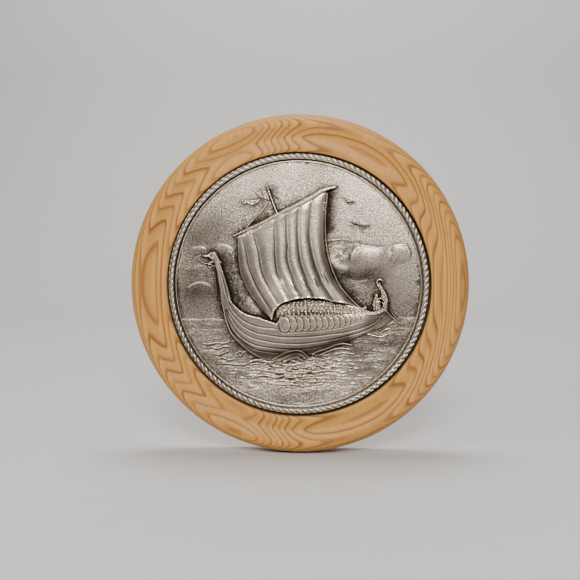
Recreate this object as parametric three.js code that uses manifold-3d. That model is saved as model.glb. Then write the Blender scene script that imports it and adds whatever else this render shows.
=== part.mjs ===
// A round wall plaque: a cast pewter relief of a longship under sail, set in a turned pine frame.
//
// Everything is modelled lying on its back: x runs to the right, y up the picture and z out of the
// picture, from the wall. The last group stands it up, so that the finished part hangs in the XZ plane
// with its back against the plane Y = 0 and its face looking along -Y. All sizes are in millimetres.
import * as THREE from "three";
import { mergeVertices } from "three/addons/utils/BufferGeometryUtils.js";
import Module from "manifold-3d";

const wasm = await Module();
wasm.setup();

// ---- driving dimensions ----
const FRAME_RADIUS = 105; // widest, half way up the outer roll
const FRAME_DEPTH = 24; // wall to the crown of the outer roll
const RECESS_RADIUS = 81.3;
const RECESS_FLOOR = 14;
const HANG_HOLE = { y: 87, radius: 4, depth: 10 };
const SEAT_GAP = 0.3; // between the casting and the floor that it rests on

const SEAT_OFFSET = { x: -0.45, y: 0.15 }; // the casting sits a little off the middle of its recess

const DISC_RADIUS = 80.3;
const FIELD = 17; // level of the open sky
const ROOT = FIELD - 1; // carved pieces start this deep inside the plate
const ROPE = { centre: 78.75, halfWidth: 1.7, height: 2.3 };
const BEAD = { radius: 75.8, width: 1, height: 1.1 };
const SKY_RADIUS = 75;
const SEA = { level: -21, height: 0.4 };

const YARD = { left: [-40, 29.6], right: [22.8, 60.1], radius: 1.4, height: 3.8 };
const MAST = { foot: [-12.8, 43], top: [-19.3, 61.2], radius: 0.75, height: 2.7 };
const STAY = { low: [-31.6, 35.4], high: [-18.2, 50.2], radius: 0.4, height: 1.5 };
const GORES = 7;
const SHIELDS = 14;
const CREW_ROWS = 2;

// ---- outlines of the ship, [x, y] ----
// Ribs of the hull from the stem to the stern: where each meets the sheer, and where it meets the keel.
const RIB_TOPS = [
  [-46.2, -4], [-43.6, -9], [-40.5, -13], [-36, -16.8], [-30, -19.5], [-22.5, -21], [-14, -24.2],
  [2, -24.3], [18, -22.8], [32, -20.6], [43, -18.4], [49, -16.8], [53.5, -15],
];
const RIB_FEET = [
  [-47.3, -6], [-46.6, -14], [-44.3, -22], [-39.5, -31], [-31.5, -40], [-22, -45.3], [-10, -47.5],
  [6, -45.5], [20, -40.3], [33, -35], [44, -29], [51, -23.5], [55.5, -18.5],
];
const STRAKE_EDGES = [0, 0.22, 0.41, 0.6, 0.77, 0.9, 1]; // share of the way from sheer to keel
const LUFF = [[-37, 29], [-37.4, 20], [-36.6, 12], [-33.4, 0], [-26.3, -12], [-16, -23.2]];
const LEECH = [[17.6, 57], [16.4, 45], [16.6, 32], [19.6, 17], [25.6, 0], [32.4, -9.2], [43.5, -17.5]];
const FOOT = [[-16, -23.2], [-13.6, -15.4], [-8, -11.2], [5, -8.4], [17, -9.3], [32, -12.4], [40, -14.6]];
const NECK = [[-43.4, -13], [-44, -10], [-46.2, 0], [-48.4, 9], [-50.4, 16]];
const MANE = [[-55.4, 18], [-53.6, 19.3], [-51.6, 19.3], [-48.9, 15], [-47, 13.3]];
const STERN_POST = [[53.6, -16], [54, -12], [53.8, -8.4], [52.4, -4.8], [50.8, -1.6], [49.6, 0.4]];
const FINIAL = [[49.4, 0], [48.6, 2.2], [49.6, 3.1], [51.4, 3.2], [52.5, 2.2]];

const curve = (points) => new THREE.CatmullRomCurve3(points.map(([x, y]) => new THREE.Vector3(x, y, 0)));
const smoothstep = THREE.MathUtils.smoothstep;
const lerp = THREE.MathUtils.lerp;

// ---- solids ----
// The closed solid of a geometry, turned to face outwards.
function solidOf(geometry) {
  const bare = new THREE.BufferGeometry().setAttribute("position", geometry.getAttribute("position"));
  bare.setIndex(geometry.index);
  const merged = mergeVertices(bare.index ? bare.toNonIndexed() : bare, 1e-4);
  const place = merged.attributes.position;
  const faces = [];
  let volume = 0;
  const [a, b, c] = [0, 1, 2].map(() => new THREE.Vector3());
  for (let i = 0; i < merged.index.count; i += 3) {
    const [p, q, r] = [0, 1, 2].map((k) => merged.index.getX(i + k));
    if (p === q || q === r || p === r) continue;
    a.fromBufferAttribute(place, p);
    b.fromBufferAttribute(place, q);
    c.fromBufferAttribute(place, r);
    volume += a.dot(b.cross(c));
    faces.push([p, q, r]);
  }
  const triVerts = new Uint32Array(faces.flatMap(([p, q, r]) => (volume < 0 ? [r, q, p] : [p, q, r])));
  return new wasm.Manifold(new wasm.Mesh({ numProp: 3, vertProperties: place.array, triVerts }));
}

function geometryOf(solid) {
  const mesh = solid.getMesh();
  const geometry = new THREE.BufferGeometry();
  geometry.setAttribute("position", new THREE.BufferAttribute(mesh.vertProperties, 3));
  geometry.setIndex(new THREE.BufferAttribute(mesh.triVerts, 1));
  geometry.computeVertexNormals();
  return geometry;
}

// A join leaves crumbs: edges shorter than a hair, which are closed up, and triangles flatter than one,
// whose long edge is turned to the other diagonal of the pair of triangles that share it.
function tidied(solid, hair = 0.012) {
  const mesh = solid.getMesh();
  const corner = (v) => new THREE.Vector3().fromArray(mesh.vertProperties, 3 * v);
  const apart = (p, q) => corner(p).distanceTo(corner(q));
  const kept = Array.from({ length: mesh.numVert }, (_, v) => v);
  const keeperOf = (v) => {
    let at = v;
    while (kept[at] !== at) at = kept[at];
    return at;
  };
  for (let i = 0; i < mesh.triVerts.length; i++) {
    const [p, q] = [i, i % 3 === 2 ? i - 2 : i + 1].map((k) => keeperOf(mesh.triVerts[k]));
    if (p !== q && apart(p, q) < hair) kept[Math.max(p, q)] = Math.min(p, q);
  }
  const faces = [];
  for (let i = 0; i < mesh.triVerts.length; i += 3) {
    const face = [0, 1, 2].map((k) => keeperOf(mesh.triVerts[i + k]));
    if (new Set(face).size === 3) faces.push(face);
  }
  const flatness = ([p, q, r]) => {
    const area = corner(q).sub(corner(p)).cross(corner(r).sub(corner(p))).length();
    return area / Math.max(apart(p, q), apart(q, r), apart(r, p));
  };
  for (let pass = 0; pass < 4; pass++) {
    const owner = new Map();
    faces.forEach((face, f) => face.forEach((p, k) => owner.set(p + " " + face[(k + 1) % 3], f)));
    const turned = new Set();
    faces.forEach((face, f) => {
      if (turned.has(f) || flatness(face) >= hair) return;
      const lengths = face.map((p, k) => apart(p, face[(k + 1) % 3]));
      const k = lengths.indexOf(Math.max(...lengths));
      const [a, b, c] = [0, 1, 2].map((step) => face[(k + step) % 3]);
      const g = owner.get(b + " " + a);
      const d = faces[g].find((p) => p !== a && p !== b);
      if (turned.has(g) || owner.has(c + " " + d) || owner.has(d + " " + c)) return;
      const pair = [[a, d, c], [d, b, c]];
      if (Math.min(...pair.map(flatness)) <= flatness(face)) return;
      [faces[f], faces[g]] = pair;
      turned.add(f).add(g);
    });
  }
  const triVerts = Uint32Array.from(faces.flat());
  return new wasm.Manifold(new wasm.Mesh({ numProp: 3, vertProperties: mesh.vertProperties, triVerts }));
}

// A solid through rings of equal length, closed at each end by a strip across the ring.
function loft(rings) {
  const around = rings[0].length;
  const index = [];
  for (let i = 0; i + 1 < rings.length; i++) {
    for (let j = 0; j < around; j++) {
      const [a, b] = [i * around + j, i * around + ((j + 1) % around)];
      index.push(a, b, b + around, a, b + around, a + around);
    }
  }
  const last = (rings.length - 1) * around;
  for (let j = 0, k = around - 1; j < k - 1; j++, k--) {
    for (const [p, q, r] of [[j, k, j + 1], [j + 1, k, k - 1]]) {
      if (q !== r && p !== r) index.push(p, q, r, last + p, last + r, last + q);
    }
  }
  const geometry = new THREE.BufferGeometry();
  geometry.setAttribute("position", new THREE.Float32BufferAttribute(rings.flat(2), 3));
  geometry.setIndex(index);
  return solidOf(geometry);
}

// A block rooted in the plate whose top is the surface point(u, v) = [x, y, height above the field].
function block(point, across, along) {
  const rings = [];
  for (let i = 0; i <= across; i++) {
    const top = [];
    for (let j = 0; j <= along; j++) {
      const [x, y, height] = point(i / across, j / along);
      top.push([x, y, FIELD + height]);
    }
    rings.push([...top, ...top.map(([x, y]) => [x, y, ROOT]).reverse()]);
  }
  return loft(rings);
}

// A ridge rooted in the plate along a path: half width and height are functions of the share run.
function ridge(path, steps, halfWidth, height) {
  const rings = [];
  for (let i = 0; i <= steps; i++) {
    const share = i / steps;
    const at = path.getPoint(share);
    const way = path.getTangent(share);
    const side = new THREE.Vector3(-way.y, way.x, 0).multiplyScalar(halfWidth(share));
    const shoulder = 0.55;
    const top = FIELD + height(share);
    rings.push([
      [at.x + side.x, at.y + side.y, ROOT],
      [at.x + side.x, at.y + side.y, lerp(FIELD, top, shoulder)],
      [at.x, at.y, top],
      [at.x - side.x, at.y - side.y, lerp(FIELD, top, shoulder)],
      [at.x - side.x, at.y - side.y, ROOT],
    ]);
  }
  return loft(rings);
}

// A dome of the given height on the field, with the lower half of its ball sunk in the plate.
function dome([x, y], [wide, tall], height, around = 12, rings = 6) {
  const ball = new THREE.SphereGeometry(1, around, rings);
  ball.rotateX(Math.PI / 2);
  ball.scale(wide, tall, 1);
  const place = ball.attributes.position;
  for (let i = 0; i < place.count; i++) {
    const z = place.getZ(i);
    place.setZ(i, z * (z > 0 ? height : FIELD - ROOT));
  }
  ball.translate(x, y, FIELD);
  return solidOf(ball);
}

// ---- the turned frame ----
function frameProfile() {
  const profile = [new THREE.Vector2(0, 0)];
  const arc = (cx, cy, rx, ry, from, to, steps) => {
    for (let i = 0; i <= steps; i++) {
      const angle = THREE.MathUtils.degToRad(lerp(from, to, i / steps));
      profile.push(new THREE.Vector2(cx + rx * Math.cos(angle), cy + ry * Math.sin(angle)));
    }
  };
  arc(FRAME_RADIUS - 2.8, 2.5, 2.5, 2.5, -90, 0, 2); // eased back edge
  arc(FRAME_RADIUS - 6.7, FRAME_DEPTH / 2, 6.7, FRAME_DEPTH / 2, 0, 90, 6); // outer roll, up to its crown
  const inward = [[9.6, 0.9], [12.2, 2.3], [14.8, 3.35], [17.4, 2.9], [19.8, 2.25], [21.6, 2.05], [23, 2.5]];
  for (const [inset, drop] of inward) {
    profile.push(new THREE.Vector2(FRAME_RADIUS - inset, FRAME_DEPTH - drop)); // valley and inner swell
  }
  profile.push(new THREE.Vector2(RECESS_RADIUS, FRAME_DEPTH - 3.2));
  profile.push(new THREE.Vector2(RECESS_RADIUS, RECESS_FLOOR), new THREE.Vector2(0, RECESS_FLOOR));
  return profile;
}

function frame() {
  const turned = new THREE.LatheGeometry(frameProfile(), 48);
  turned.rotateX(Math.PI / 2);
  const drilled = new THREE.CylinderGeometry(HANG_HOLE.radius, HANG_HOLE.radius, 2 * HANG_HOLE.depth, 16);
  drilled.rotateX(Math.PI / 2);
  drilled.translate(0, HANG_HOLE.y, 0);
  return solidOf(turned).subtract(solidOf(drilled));
}

// ---- the casting's plate, with the rope moulding round its rim and the bead inside it ----
function plate() {
  const back = RECESS_FLOOR + SEAT_GAP;
  const profile = [[0, back], [DISC_RADIUS, back]];
  for (const degrees of [25, 60, 90, 120, 155]) {
    const angle = THREE.MathUtils.degToRad(degrees);
    const radius = ROPE.centre + ROPE.halfWidth * Math.cos(angle);
    profile.push([degrees === 25 ? DISC_RADIUS : radius, FIELD + ROPE.height * Math.sin(angle)]);
  }
  profile.push([ROPE.centre - ROPE.halfWidth, FIELD], [0, FIELD]);
  const turned = new THREE.LatheGeometry(profile.map(([r, z]) => new THREE.Vector2(r, z)), 72);
  turned.rotateX(Math.PI / 2);
  return solidOf(turned);
}

function bead() {
  const [half, low] = [BEAD.width / 2 + 0.6, ROOT];
  const section = [[-half, low], [half, low], [0, FIELD + BEAD.height], [-half, low]];
  const ring = new THREE.LatheGeometry(section.map(([r, z]) => new THREE.Vector2(BEAD.radius + r, z)), 72);
  ring.rotateX(Math.PI / 2);
  return solidOf(ring);
}

// ---- sea and sky ----
function sea() {
  const from = Math.PI + Math.asin(-SEA.level / SKY_RADIUS);
  const shape = new THREE.Shape().absarc(0, 0, SKY_RADIUS, from, 3 * Math.PI - from);
  const depth = FIELD + SEA.height - ROOT;
  const slab = new THREE.ExtrudeGeometry(shape, { depth, bevelEnabled: false, curveSegments: 36 });
  slab.translate(0, 0, ROOT);
  return solidOf(slab);
}

// Rows of crests that grow longer and higher towards the viewer, and stay off the hull.
function waves() {
  const made = [];
  const rows = 8;
  for (let row = 0; row < rows; row++) {
    const y = lerp(-27, -65, row / (rows - 1));
    const reach = Math.sqrt(SKY_RADIUS ** 2 - y * y) - 5;
    const length = 9 + 0.45 * row;
    for (let x = -reach + 5 * (row % 2); x + length < reach; x += length + 5.5) {
      const underHull = y > -49 && x + length > -44 - (y + 20) * -0.55 && x < 52 + (y + 20) * 0.4;
      if (underHull) continue;
      const lift = 0.9 * Math.sin(1.7 * x + 2.3 * row);
      const crest = curve([[x, y], [x + length / 2, y + lift], [x + length, y - 0.3 * lift]]);
      const swell = (share) => Math.sin(Math.PI * share);
      made.push(ridge(crest, 3, (share) => 0.9 * swell(share), (share) => SEA.height + 0.9 * swell(share)));
    }
  }
  return made;
}

// The waves thrown up along the hull: arched crests over its lower strakes.
function wash() {
  const crests = [
    [[-17, -46.4], [-9, -43.4], [-1, -41], [4, -42], [7, -45]],
    [[-10, -47.2], [-4, -44.8], [1, -44.6], [4, -46.6]],
    [[9, -43], [17, -40.6], [25, -37], [33, -37.4]],
    [[15, -43.4], [22, -41], [29, -40.4], [34, -40.6]],
    [[-31, -48.6], [-26, -47], [-20, -47.8]],
    [[43, -30], [48, -31.2], [53, -30.4]],
    [[51, -28.8], [54, -26.8], [57.6, -26.4]],
  ];
  return crests.map((crest) => {
    const swell = (share) => 0.25 + Math.sin(Math.PI * share);
    return ridge(curve(crest), 6, (share) => 1.3 * swell(share), (share) => 2.2 * swell(share));
  });
}

function clouds() {
  const banks = [
    [[34, 16.5], [14, 11.2], 1.3], [[61.5, 11], [10.5, 14], 1.1], [[48, 10], [12, 14], 1],
    [[25, 14], [8, 12.5], 1.7], [[-61, -9.5], [10.2, 11], 1.1], [[-44.5, 13], [8.5, 11.8], 1],
    [[-61, 18.5], [7, 5], 0.9], [[38.5, 2.6], [6, 3.4], 0.6],
  ];
  return banks.map(([at, size, height]) => dome(at, size, height, 12, 6));
}

function gulls() {
  const birds = [[[29.4, 52.6], [31.2, 50.8], [36, 51.4]], [[33.6, 37.4], [37.4, 35.8], [44, 36.6]]];
  return birds.map((bird) => {
    const taper = (share) => 0.12 + Math.sin(Math.PI * share);
    return ridge(curve(bird), 4, (share) => 0.5 * taper(share), (share) => 0.7 * taper(share));
  });
}

// ---- the hull ----
const sheer = curve(RIB_TOPS);
const keel = curve(RIB_FEET);

// Height of the hull's skin over the field: full amidships, and falling away at the ends and to the keel.
function hullHeight(station, strake) {
  const fullness = Math.sin(Math.PI * lerp(0.14, 0.93, station));
  return 1.2 + 2.7 * fullness * Math.cos(0.5 * Math.PI * strake * 0.82);
}

function hull() {
  const stations = 18;
  const rings = [];
  for (let i = 0; i <= stations; i++) {
    const station = i / stations;
    const lap = 0.45 * Math.min(1, 3 * Math.sin(Math.PI * station));
    const [top, foot] = [sheer.getPoint(station), keel.getPoint(station)];
    const at = (strake, drop) => {
      const rib = top.clone().lerp(foot, strake);
      return [rib.x, rib.y, FIELD + hullHeight(station, strake) - drop];
    };
    const skin = [];
    for (let k = 0; k + 1 < STRAKE_EDGES.length; k++) {
      skin.push(at(STRAKE_EDGES[k], k ? lap : 0), at(STRAKE_EDGES[k + 1] - 0.01, 0));
    }
    const inside = [foot, top].map((end) => [end.x, end.y, ROOT]);
    rings.push([...skin, ...inside]);
  }
  return loft(rings);
}

// The rail along the sheer, and the stem and keel along the hull's lower edge.
function timbers() {
  const rail = ridge(sheer, 18, () => 0.75, (share) => hullHeight(share, 0) + 0.4);
  const backbone = ridge(keel, 18, () => 0.8, (share) => hullHeight(share, 1) + 0.5);
  return [rail, backbone];
}

// Round shields along the rail, each tucked behind the one before it, and smaller towards the stern.
function shields() {
  const made = [];
  let x = -8.2;
  for (let k = 0; k < SHIELDS; k++) {
    const share = k / (SHIELDS - 1);
    const tall = lerp(4.75, 2.6, share ** 1.4);
    const wide = lerp(3.5, 2.3, share);
    const height = lerp(5, 3.7, share);
    const disc = new THREE.CylinderGeometry(0.86, 1, 1, 10);
    disc.rotateX(Math.PI / 2);
    disc.scale(wide, tall, height - 0.1 * (k % 2));
    disc.translate(x, -20 - tall + share * 1.1, FIELD + height / 2 - 0.05 * (k % 2));
    made.push(solidOf(disc));
    x += lerp(4.25, 2.9, share);
  }
  return made;
}

// The deck behind the shields with the crew's heads in rows.
function crew() {
  const deck = curve([[-13, -18.4], [-4, -15.6], [8, -14.5], [20, -14.8], [41.5, -16.6]]);
  const halfWidth = (share) => lerp(2.6, 0.9, share) + 2.5 * Math.sin(Math.PI * share);
  const made = [ridge(deck, 10, halfWidth, (share) => 2.7 - 0.6 * share)];
  for (let row = 0; row < CREW_ROWS; row++) {
    const heads = 19 - row;
    for (let k = 0; k < heads; k++) {
      const share = (k + 0.5 * (row % 2)) / heads;
      const at = deck.getPoint(share);
      const spread = lerp(2, 1.2, share);
      const head = new THREE.OctahedronGeometry(1);
      head.scale(0.8, 0.85, 2.2);
      head.translate(at.x, at.y + spread * (row - 0.6), FIELD + lerp(1.7, 1.1, share) - 0.2 * row);
      made.push(solidOf(head));
    }
  }
  return made;
}

// ---- stem with the dragon's head, stern with the helmsman ----
function neck() {
  const halfWidth = (share) => lerp(3.4, 2, smoothstep(share, 0, 0.8));
  return ridge(curve(NECK), 12, halfWidth, () => 3.3);
}

function dragonHead() {
  const skull = dome([-52.4, 16.8], [2.6, 2.6], 3.5, 10, 6);
  const taper = (wide, tip) => (share) => lerp(wide, tip, share);
  const swell = (share) => 0.5 + 0.85 * Math.sin(Math.PI * share);
  const feature = (points, width, height, steps = 4) => ridge(curve(points), steps, width, height);
  return [
    skull,
    feature([[-54.2, 17.8], [-56.6, 17.8], [-59.4, 17.5]], taper(0.95, 0.45), taper(4, 2.4)), // snout
    feature([[-52, 14.2], [-55.6, 13], [-58.8, 13.3], [-61.8, 15.6]], taper(1.1, 0.3), taper(2, 1.3)), // jaw
    feature([[-55.4, 10.9], [-54.2, 10.2], [-53, 11.3], [-50.8, 10.8]], () => 0.4, () => 1.9), // curl
    feature(MANE, swell, taper(4.3, 2.8), 8),
  ];
}

function stern() {
  const post = ridge(curve(STERN_POST), 10, (share) => lerp(2, 0.7, share), () => 2.6);
  const finial = ridge(curve(FINIAL), 8, (share) => lerp(0.6, 0.4, share), () => 3);
  const blade = curve([[53.8, -15.6], [57.4, -19.2], [61.2, -22.6], [64.4, -24.4]]);
  const oar = ridge(blade, 5, (share) => lerp(0.5, 0.8, share), (share) => lerp(2.9, 1.2, share));
  const clew = dome([41.4, -14.2], [1.5, 1.3], 4, 8, 6);
  return [post, finial, oar, clew];
}

function helmsman() {
  const back = curve([[48.8, -15.4], [48.7, -12], [48.9, -8.6]]);
  const cloak = ridge(back, 4, (share) => lerp(2.2, 1.4, share), () => 2.4);
  const fold = ridge(curve([[46.9, -15.2], [46.8, -11], [47.6, -7.4]]), 4, () => 0.55, () => 3.3);
  const head = dome([48.6, -6.2], [1.25, 1.15], 3.9, 8, 6);
  const arm = ridge(curve([[48.4, -8.7], [51.2, -8.2], [52.8, -9.5], [54, -11.2]]), 5, () => 0.55, () => 3.6);
  return [cloak, fold, head, arm];
}

// ---- rigging ----
const yardSlope = (YARD.right[1] - YARD.left[1]) / (YARD.right[0] - YARD.left[0]);
const yardAt = (x) => YARD.left[1] + yardSlope * (x - YARD.left[0]);

// A curve given by points that fall in y, read as x for a y.
function acrossAt(points) {
  const line = curve(points);
  return (y) => {
    let [low, high] = [0, 1];
    for (let i = 0; i < 24; i++) {
      const middle = (low + high) / 2;
      if (line.getPoint(middle).y > y) low = middle;
      else high = middle;
    }
    return line.getPoint(low).x;
  };
}

// The foot of the sail as y for an x.
function footAt(x) {
  const line = curve(FOOT);
  let [low, high] = [0, 1];
  for (let i = 0; i < 24; i++) {
    const middle = (low + high) / 2;
    if (line.getPoint(middle).x < x) low = middle;
    else high = middle;
  }
  return line.getPoint(low).y;
}

// The sail: gores that run from the yard to the foot, each round, on a sail that bellies forward.
function sail() {
  const [luff, leech] = [LUFF, LEECH].map(acrossAt);
  const xAt = (across, y) => lerp(luff(y), leech(y), across);
  const settle = (across, edge, low, high) => {
    for (let i = 0; i < 24; i++) {
      const middle = (low + high) / 2;
      if (middle > edge(xAt(across, middle))) high = middle;
      else low = middle;
    }
    return low;
  };
  const perGore = 3;
  return block((across, down) => {
    const head = settle(across, (x) => yardAt(x) - YARD.radius, 20, 57);
    const foot = settle(across, footAt, -23.2, 10);
    const y = lerp(head, foot, down);
    const roundness = Math.abs(Math.sin(Math.PI * GORES * across));
    const belly = (0.42 + 0.58 * down ** 1.7) * 4 * across * (1 - across);
    const depth = 0.5 + 0.6 * smoothstep(down, 0.1, 0.8);
    return [xAt(across, y), y, 1 + 4 * belly + depth * roundness];
  }, GORES * perGore, 8);
}

function rigging() {
  const yardEnd = (share) => YARD.radius * (0.4 + 0.6 * smoothstep(Math.min(share, 1 - share), 0, 0.12));
  const yard = ridge(curve([YARD.left, [-9, yardAt(-9)], YARD.right]), 8, yardEnd, () => YARD.height);
  const mast = ridge(curve([MAST.foot, MAST.top]), 2, () => MAST.radius, () => MAST.height);
  const stay = ridge(curve([STAY.low, STAY.high]), 2, () => STAY.radius, () => STAY.height);
  return [yard, mast, stay];
}

// The pennant: one fold near the mast, the next blown below and beyond it.
function pennant() {
  const fold = (top, bottom, height) => {
    const [high, low] = [curve(top), curve(bottom)];
    return block((along, down) => {
      const at = high.getPoint(along).lerp(low.getPoint(along), down);
      return [at.x, at.y, height + 0.4 * Math.sin(Math.PI * 2 * along)];
    }, 6, 1);
  };
  return [
    fold([[-18.2, 57], [-22, 57.6], [-26.2, 56.4]], [[-17.2, 51.6], [-21.4, 53.2], [-25.6, 55.4]], 1.4),
    fold([[-22.4, 52.8], [-28, 51.9], [-35, 52.2]], [[-25.6, 50.2], [-28, 49.2], [-33.4, 49.9]], 1.2),
  ];
}

// ---- the whole ----
function relief() {
  const carved = [
    bead(), sea(), ...clouds(), ...gulls(), ...waves(),
    hull(), ...wash(), ...timbers(), ...shields(), ...crew(),
    neck(), ...dragonHead(), ...stern(), ...helmsman(),
    sail(), ...rigging(), ...pennant(),
  ];
  const casting = wasm.Manifold.union([plate(), ...carved]);
  return tidied(casting).translate(SEAT_OFFSET.x, SEAT_OFFSET.y, 0);
}

function piece(name, solid, material) {
  const mesh = new THREE.Mesh(geometryOf(solid), material);
  mesh.name = name;
  return mesh;
}

const pine = new THREE.MeshStandardMaterial({ color: 0xc49a62, roughness: 0.5, metalness: 0 });
const pewter = new THREE.MeshStandardMaterial({ color: 0x8d877d, roughness: 0.4, metalness: 0.9 });

const plaque = new THREE.Group();
plaque.add(piece("pine_frame", frame(), pine), piece("pewter_relief", relief(), pewter));
plaque.rotation.x = Math.PI / 2;

const part = new THREE.Group();
part.add(plaque);
export default part;
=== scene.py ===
"""A round wall plaque: a cast pewter relief of a longship under sail, in a turned pine frame.

The relief is worked as a height field in millimetres, x to the right and z up, from named curves; the
height stands on the level of the open sky. The plaque's back lies in the plane Y = 0 and it faces -Y.
"""
import math

import bmesh
import bpy
import numpy as np
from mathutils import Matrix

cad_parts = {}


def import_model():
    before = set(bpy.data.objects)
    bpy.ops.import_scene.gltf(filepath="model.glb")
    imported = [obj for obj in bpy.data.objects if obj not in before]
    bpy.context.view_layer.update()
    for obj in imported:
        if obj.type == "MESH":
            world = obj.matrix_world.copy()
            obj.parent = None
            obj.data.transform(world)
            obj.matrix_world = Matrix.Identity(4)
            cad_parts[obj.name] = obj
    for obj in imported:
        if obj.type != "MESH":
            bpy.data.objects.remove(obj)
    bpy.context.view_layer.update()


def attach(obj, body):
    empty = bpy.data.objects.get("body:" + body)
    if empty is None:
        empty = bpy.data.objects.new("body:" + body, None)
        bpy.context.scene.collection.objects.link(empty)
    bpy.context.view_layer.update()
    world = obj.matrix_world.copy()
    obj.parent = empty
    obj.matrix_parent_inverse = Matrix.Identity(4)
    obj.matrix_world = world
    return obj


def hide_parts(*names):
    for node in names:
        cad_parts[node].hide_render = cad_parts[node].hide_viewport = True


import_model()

MM = 0.001
rng = np.random.default_rng(11)

# ---- sizes, in millimetres ----
FRAME_RADIUS = 105
FRAME_DEPTH = 24
RECESS_RADIUS = 81.3
RECESS_FLOOR = 14
HOLE_AT, HOLE_RADIUS, HOLE_DEPTH = 87, 4, 10
SKY = 17  # depth from the wall to the open sky of the relief
DISC_RADIUS = 80.3
DISC_BACK = 14.3
SEAT_X, SEAT_Z = -0.45, 0.15  # the casting sits a little off the middle of its recess
ROPE_CENTRE, ROPE_HALF, ROPE_HEIGHT, STRANDS = 78.75, 1.7, 2.3, 131
BEAD_RADIUS, BEAD_HALF, BEAD_HEIGHT = 75.8, 0.5, 0.8
PICTURE_RADIUS, PICTURE_THICKNESS = 75.5, 1.2
STEP = 0.3  # grid of the height field
KEPT_SHARE = 0.32  # of the height field's triangles, once it is thinned
LENS_SHIFT = (-0.017068966, -0.011724138)  # as shares of the image's width

# ---- the height field ----
line = np.arange(-PICTURE_RADIUS, PICTURE_RADIUS + STEP, STEP)
X, Z = np.meshgrid(line, line)
R = np.hypot(X, Z)
H = np.zeros_like(X)
WEAR_AND_PAINTED_LIGHT = np.zeros_like(X)  # patina and painted shade below zero, burnishing and painted highlights above


def table(values, share):
    """A number, or numbers spread evenly along a curve, at each share of it."""
    values = np.atleast_1d(np.asarray(values, float))
    if len(values) == 1:
        return np.full_like(share, values[0])
    return np.interp(share, np.linspace(0, 1, len(values)), values)


def smooth_path(points, step=0.6):
    """A smooth curve through the points, as close dots."""
    p = np.asarray(points, float)
    p = np.vstack([2 * p[0] - p[1], p, 2 * p[-1] - p[-2]])
    dots = []
    for a, b, c, d in zip(p, p[1:], p[2:], p[3:]):
        n = max(2, int(np.hypot(*(c - b)) / step))
        t = np.arange(n)[:, None] / n
        dots.append(b + 0.5 * t * (c - a + t * (2 * a - 5 * b + 4 * c - d + t * (3 * (b - c) + d - a))))
    return np.vstack(dots + [p[-2:-1]])


def region(path, margin):
    """The part of the grid within the margin of a curve's box."""
    lo, hi = path.min(0) - margin, path.max(0) + margin
    cols = np.searchsorted(line, [lo[0], hi[0]])
    rows = np.searchsorted(line, [lo[1], hi[1]])
    return slice(*rows), slice(*cols)


def nearest(path, x, z):
    """For each point: distance to the curve, side (left is positive) and share along the curve."""
    best = np.full(x.shape, 1e9)
    side, along = np.zeros(x.shape), np.zeros(x.shape)
    run = np.concatenate([[0], np.cumsum(np.hypot(*np.diff(path, axis=0).T))])
    for (ax, az), (bx, bz), start, end in zip(path, path[1:], run, run[1:]):
        ex, ez = bx - ax, bz - az
        px, pz = x - ax, z - az
        u = np.clip((px * ex + pz * ez) / (ex * ex + ez * ez + 1e-12), 0, 1)
        gap = (px - u * ex) ** 2 + (pz - u * ez) ** 2
        nearer = gap < best
        best = np.where(nearer, gap, best)
        side = np.where(nearer, np.sign(ex * pz - ez * px), side)
        along = np.where(nearer, start + u * (end - start), along)
    return np.sqrt(best), side, along / run[-1]


def inside(outline, x, z):
    """Which points lie in a closed outline."""
    odd = np.zeros(x.shape, bool)
    for (ax, az), (bx, bz) in zip(outline, np.roll(outline, -1, axis=0)):
        if az != bz:
            crosses = (az > z) != (bz > z)
            odd ^= crosses & (x < (bx - ax) * (z - az) / (bz - az) + ax)
    return odd


def ease(value, low, high):
    t = np.clip((value - low) / (high - low), 0, 1)
    return t * t * (3 - 2 * t)


def blur(field, sigma, wrap_rows=False):
    """A Gaussian blur, sigma in grid steps."""
    reach = int(3 * sigma) + 1
    weights = np.exp(-0.5 * (np.arange(-reach, reach + 1) / sigma) ** 2)
    weights /= weights.sum()
    for axis in (0, 1):
        mode = "wrap" if wrap_rows and axis == 0 else "edge"
        pad = [(reach, reach) if axis == k else (0, 0) for k in (0, 1)]
        wide = np.pad(field, pad, mode=mode)
        total = np.zeros_like(field)
        for k, w in enumerate(weights):
            cut = [slice(None), slice(None)]
            cut[axis] = slice(k, k + field.shape[axis])
            total += w * wide[tuple(cut)]
        field = total
    return field


def cloudy(size, seed, stretch=1):
    """Soft random mottling of unit spread, with patches of about the size given in millimetres."""
    noise = np.random.default_rng(seed).standard_normal(X.shape)
    noise = blur(noise, size / STEP / 2)
    if stretch > 1:
        noise = np.stack([np.interp(line / stretch, line, row) for row in noise])
    return noise / noise.std()


def bar(points, width, height, foot=0.0, power=0.5):
    """A rounded bar at its own height, whatever it lies on."""
    path = smooth_path(points)
    w = region(path, np.max(width))
    gap, _, share = nearest(path, X[w], Z[w])
    half = table(width, share) / 2
    top, low = table(height, share), table(foot, share)
    level = low + (top - low) * np.clip(1 - (gap / half) ** 2, 0, 1) ** power
    H[w] = np.where(gap < half, np.maximum(H[w], level), H[w])


def crest(points, width, height, taper=True):
    """A soft ridge laid on what is there, or a groove where the height is negative."""
    path = smooth_path(points)
    w = region(path, np.max(width))
    gap, _, share = nearest(path, X[w], Z[w])
    half = table(width, share) / 2
    bump = np.cos(np.clip(gap / half, 0, 1) * math.pi / 2) ** 2
    ends = np.sqrt(np.clip(np.sin(math.pi * np.clip(share, 0, 1)), 0, 1)) if taper else 1
    H[w] += table(height, share) * bump * ends


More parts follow.
